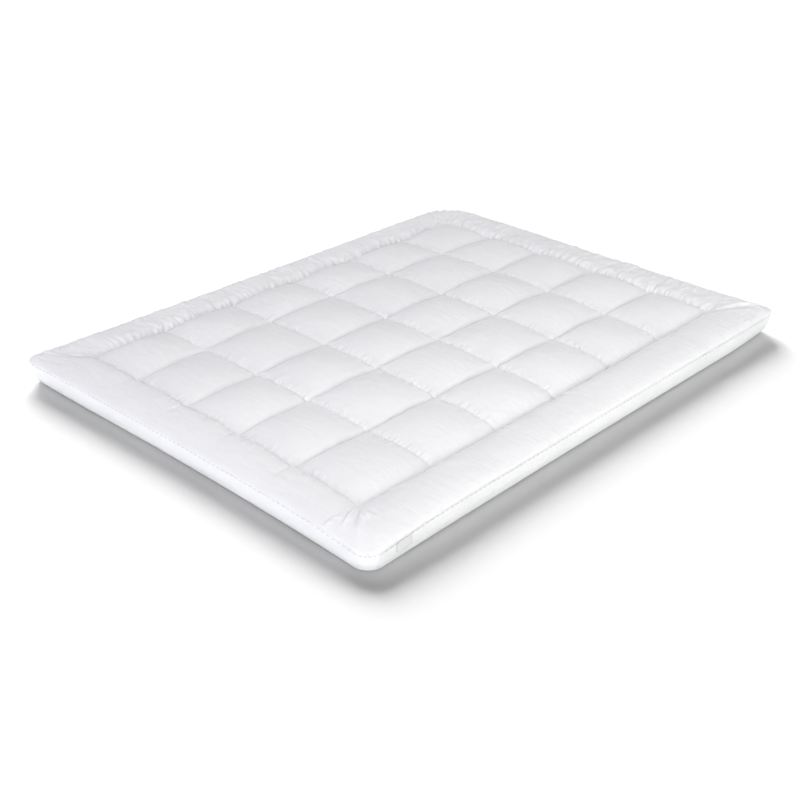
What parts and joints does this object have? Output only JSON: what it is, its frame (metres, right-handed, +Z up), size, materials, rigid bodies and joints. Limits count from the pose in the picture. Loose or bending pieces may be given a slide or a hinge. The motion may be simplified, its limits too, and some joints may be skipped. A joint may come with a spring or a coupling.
{
  "type": "mattress topper",
  "caption": "Quilted white mattress topper: a filled pad sewn in boxes, a padded border, a boxing strip round the side and a blank sewn tag.",
  "frame": {"origin": "centre of the underside, on the surface that the topper lies on", "axes": "+Y along the length, +X across the width towards the long side with the sewn tag, +Z up"},
  "size_m": [1.4991, 1.9984, 0.1067],
  "materials": {
    "quilted_cloth": "soft matt brushed white cloth with a fine plain weave",
    "strip_cloth": "smooth white cloth with a fine plain weave, a little cooler than the top",
    "tag_cloth": "smooth white satin tape"
  },
  "bodies": {
    "root": {"quilted_pad": "quilted_cloth", "side_gusset": "strip_cloth", "side_label": "tag_cloth"}
  },
  "joints": []
}
